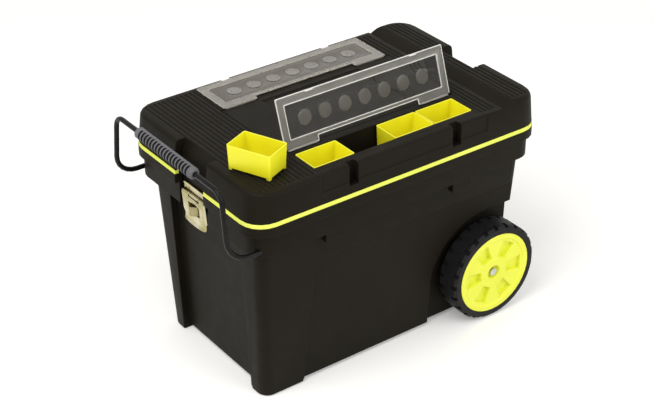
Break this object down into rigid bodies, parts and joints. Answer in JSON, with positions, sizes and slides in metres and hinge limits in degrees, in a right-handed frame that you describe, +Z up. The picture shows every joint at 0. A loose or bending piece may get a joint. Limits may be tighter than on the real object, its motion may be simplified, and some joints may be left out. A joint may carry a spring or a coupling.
{
  "type": "wheeled tool chest",
  "caption": "Wheeled tool chest with a hinged lid, clear flip-up organiser covers, lift-out bins, a pull-out handle and an over-centre hasp latch.",
  "frame": {"origin": "on the ground under the middle of the overall box", "axes": "+X from the handle end to the wheel and lid-hinge end, -Y the side with the open organiser, +Z up"},
  "size_m": [0.6365, 0.364, 0.4902],
  "materials": {
    "black_plastic": "fine-grained satin moulding",
    "lemon_seal": "matt",
    "yellow_plastic": "satin moulding",
    "clear_plastic": "clear, frosted at the border and on the discs",
    "black_tyre": "matt",
    "grey_rubber": "matt, ribbed",
    "black_steel": "semi-gloss coating",
    "bright_steel": "drawn",
    "yellow_zinc": "yellow zinc plating"
  },
  "bodies": {
    "tub": {"tub": "black_plastic", "rim_seal": "lemon_seal", "lid_hinge_pin": "bright_steel", "rod_guide_front_left": "black_plastic", "rod_guide_front_right": "black_plastic", "rod_guide_rear_left": "black_plastic", "rod_guide_rear_right": "black_plastic", "latch_strike": "yellow_zinc", "axle": "bright_steel", "axle_cap_front": "bright_steel", "axle_cap_rear": "bright_steel", "axle_spacer_front": "black_plastic", "axle_spacer_rear": "black_plastic"},
    "lid": {"lid": "black_plastic", "latch_hinge_plate": "yellow_zinc", "latch_pin": "bright_steel", "latch_rivet_front": "yellow_zinc", "latch_rivet_rear": "yellow_zinc", "front_cover_pin_left": "bright_steel", "front_cover_pin_right": "bright_steel", "rear_cover_pin_left": "bright_steel", "rear_cover_pin_right": "bright_steel"},
    "latch": {"latch_plate": "yellow_zinc"},
    "front_cover_body": {"front_cover": "clear_plastic"},
    "rear_cover_body": {"rear_cover": "clear_plastic"},
    "bin_1": {"bin_slot_1": "yellow_plastic"},
    "bin_3": {"bin_slot_3": "yellow_plastic"},
    "bin_4": {"bin_slot_4": "yellow_plastic"},
    "loose_bin": {"bin_on_lid": "yellow_plastic"},
    "handle": {"handle_rod": "black_steel", "handle_grip": "grey_rubber", "rod_stop_front": "bright_steel", "rod_stop_rear": "bright_steel"},
    "wheel_front": {"tyre_front": "black_tyre", "wheel_disc_front": "yellow_plastic"},
    "wheel_rear": {"tyre_rear": "black_tyre", "wheel_disc_rear": "yellow_plastic"}
  },
  "joints": [
    {"name": "lid_hinge", "type": "hinge", "parent": "tub", "child": "lid", "pos_m": [0.31275, 0, 0.358], "axis": [0, 1, 0], "range_deg": [0, 100]},
    {"name": "front_cover_hinge", "type": "hinge", "parent": "lid", "child": "front_cover_body", "pos_m": [0.01775, -0.0865, 0.40895], "axis": [-1, 0, 0], "range_deg": [-109, 0]},
    {"name": "rear_cover_hinge", "type": "hinge", "parent": "lid", "child": "rear_cover_body", "pos_m": [0.01775, 0.0865, 0.40895], "axis": [1, 0, 0], "range_deg": [0, 109]},
    {"name": "latch_hinge", "type": "hinge", "parent": "lid", "child": "latch", "pos_m": [-0.26175, 0, 0.3255], "axis": [0, 1, 0], "range_deg": [0, 95]},
    {"name": "handle_slide", "type": "slide", "parent": "tub", "child": "handle", "axis": [-1, 0, 0], "range_m": [0, 0.205]},
    {"name": "wheel_front_spin", "type": "hinge", "parent": "tub", "child": "wheel_front", "pos_m": [0.22145, -0.18, 0.089], "axis": [0, 1, 0], "continuous": true},
    {"name": "wheel_rear_spin", "type": "hinge", "parent": "tub", "child": "wheel_rear", "pos_m": [0.22145, 0.18, 0.089], "axis": [0, 1, 0], "continuous": true},
    {"name": "bin_1_lift", "type": "slide", "parent": "lid", "child": "bin_1", "axis": [0, 0, 1], "range_m": [0, 0.06]},
    {"name": "bin_3_lift", "type": "slide", "parent": "lid", "child": "bin_3", "axis": [0, 0, 1], "range_m": [0, 0.06]},
    {"name": "bin_4_lift", "type": "slide", "parent": "lid", "child": "bin_4", "axis": [0, 0, 1], "range_m": [0, 0.06]},
    {"name": "loose_bin_lift", "type": "slide", "parent": "lid", "child": "loose_bin", "axis": [0, 0, 1], "range_m": [0, 0.06]}
  ]
}
